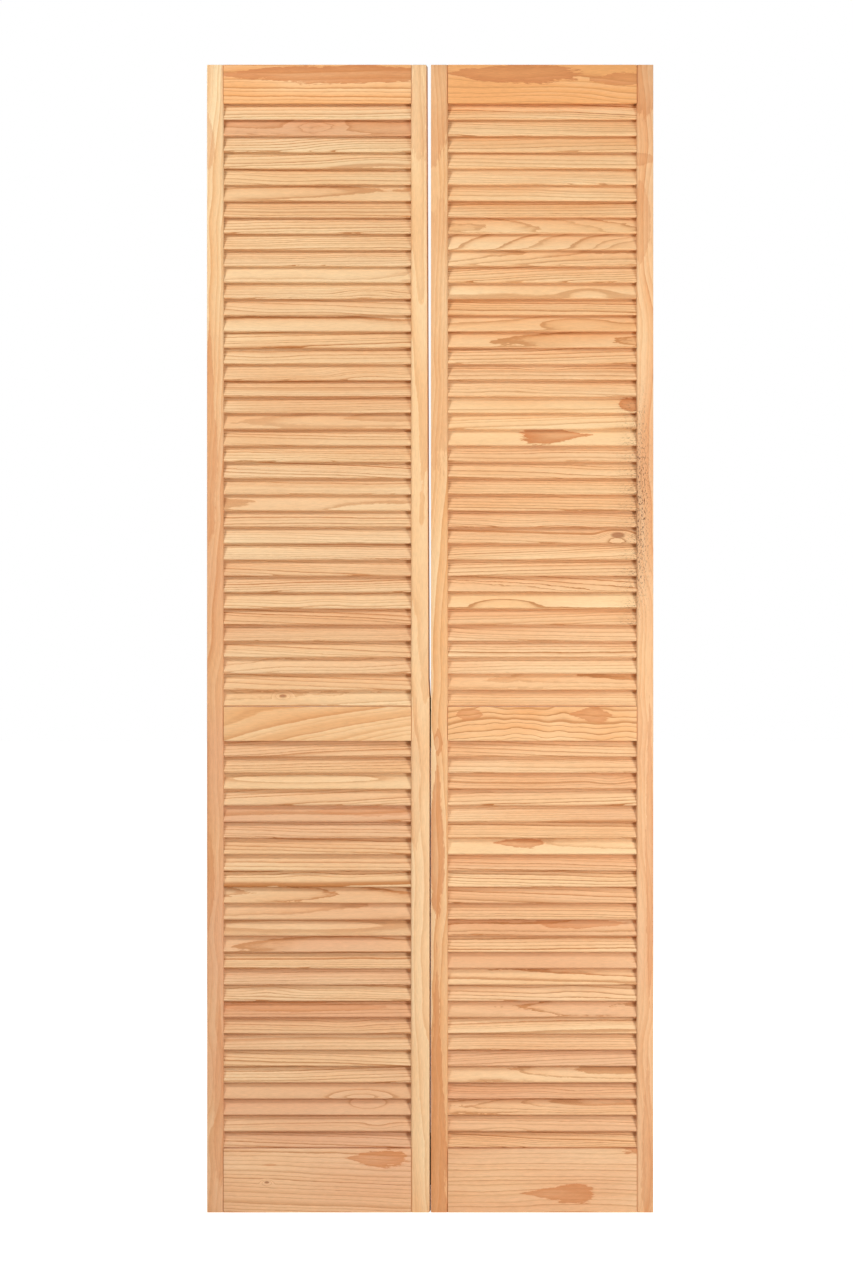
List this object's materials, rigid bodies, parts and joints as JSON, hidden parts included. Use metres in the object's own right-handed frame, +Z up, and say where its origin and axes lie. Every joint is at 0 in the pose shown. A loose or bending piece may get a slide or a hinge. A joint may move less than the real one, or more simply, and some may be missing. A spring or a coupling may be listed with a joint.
{
  "type": "bifold closet door",
  "caption": "Louvred pine bifold closet door: a pivot leaf and a lead leaf of stiles, rails and fixed slats, folding on edge hinges.",
  "frame": {"origin": "on the floor side, at the middle of the closed door's width and of its depth over the hinge barrels", "axes": "+Z up along the door's height, +Y through its thickness into the closet, with the louvred front facing -Y; +X from the pivot leaf to the lead leaf"},
  "size_m": [0.7702, 0.0355, 1.981],
  "materials": {
    "clear_pine": "planed and clear lacquered, satin",
    "beech_dowel": "turned, fluted, unfinished",
    "bronzed_steel": "pressed steel, dark bronze lacquer",
    "screw_steel": "dark bronzed, worn at the recess"
  },
  "bodies": {
    "pivot_leaf": {"pivot_stile_with_slats": "clear_pine", "pivot_meeting_stile": "clear_pine", "pivot_bottom_rail": "clear_pine", "pivot_middle_rail": "clear_pine", "pivot_top_rail": "clear_pine", "pivot_bottom_rail_outer_dowel_1": "beech_dowel", "pivot_bottom_rail_meeting_dowel_1": "beech_dowel", "pivot_bottom_rail_outer_dowel_2": "beech_dowel", "pivot_bottom_rail_meeting_dowel_2": "beech_dowel", "pivot_middle_rail_outer_dowel_1": "beech_dowel", "pivot_middle_rail_meeting_dowel_1": "beech_dowel", "pivot_middle_rail_outer_dowel_2": "beech_dowel", "pivot_middle_rail_meeting_dowel_2": "beech_dowel", "pivot_top_rail_outer_dowel_1": "beech_dowel", "pivot_top_rail_meeting_dowel_1": "beech_dowel", "pivot_top_rail_outer_dowel_2": "beech_dowel", "pivot_top_rail_meeting_dowel_2": "beech_dowel", "bottom_hinge_outer_plate": "bronzed_steel", "bottom_hinge_pin": "bronzed_steel", "bottom_hinge_outer_screw_1": "screw_steel", "bottom_hinge_outer_screw_2": "screw_steel", "bottom_hinge_outer_screw_3": "screw_steel", "bottom_hinge_outer_screw_4": "screw_steel", "middle_hinge_outer_plate": "bronzed_steel", "middle_hinge_pin": "bronzed_steel", "middle_hinge_outer_screw_1": "screw_steel", "middle_hinge_outer_screw_2": "screw_steel", "middle_hinge_outer_screw_3": "screw_steel", "middle_hinge_outer_screw_4": "screw_steel"},
    "lead_leaf": {"lead_stile_with_slats": "clear_pine", "lead_meeting_stile": "clear_pine", "lead_bottom_rail": "clear_pine", "lead_middle_rail": "clear_pine", "lead_top_rail": "clear_pine", "lead_bottom_rail_outer_dowel_1": "beech_dowel", "lead_bottom_rail_meeting_dowel_1": "beech_dowel", "lead_bottom_rail_outer_dowel_2": "beech_dowel", "lead_bottom_rail_meeting_dowel_2": "beech_dowel", "lead_middle_rail_outer_dowel_1": "beech_dowel", "lead_middle_rail_meeting_dowel_1": "beech_dowel", "lead_middle_rail_outer_dowel_2": "beech_dowel", "lead_middle_rail_meeting_dowel_2": "beech_dowel", "lead_top_rail_outer_dowel_1": "beech_dowel", "lead_top_rail_meeting_dowel_1": "beech_dowel", "lead_top_rail_outer_dowel_2": "beech_dowel", "lead_top_rail_meeting_dowel_2": "beech_dowel", "bottom_hinge_inner_plate": "bronzed_steel", "bottom_hinge_inner_screw_1": "screw_steel", "bottom_hinge_inner_screw_2": "screw_steel", "middle_hinge_inner_plate": "bronzed_steel", "middle_hinge_inner_screw_1": "screw_steel", "middle_hinge_inner_screw_2": "screw_steel"}
  },
  "joints": [
    {"name": "fold", "type": "hinge", "parent": "pivot_leaf", "child": "lead_leaf", "pos_m": [0.00308, 0.01425, 0], "axis": [0, 0, 1], "range_deg": [0, 180]}
  ]
}
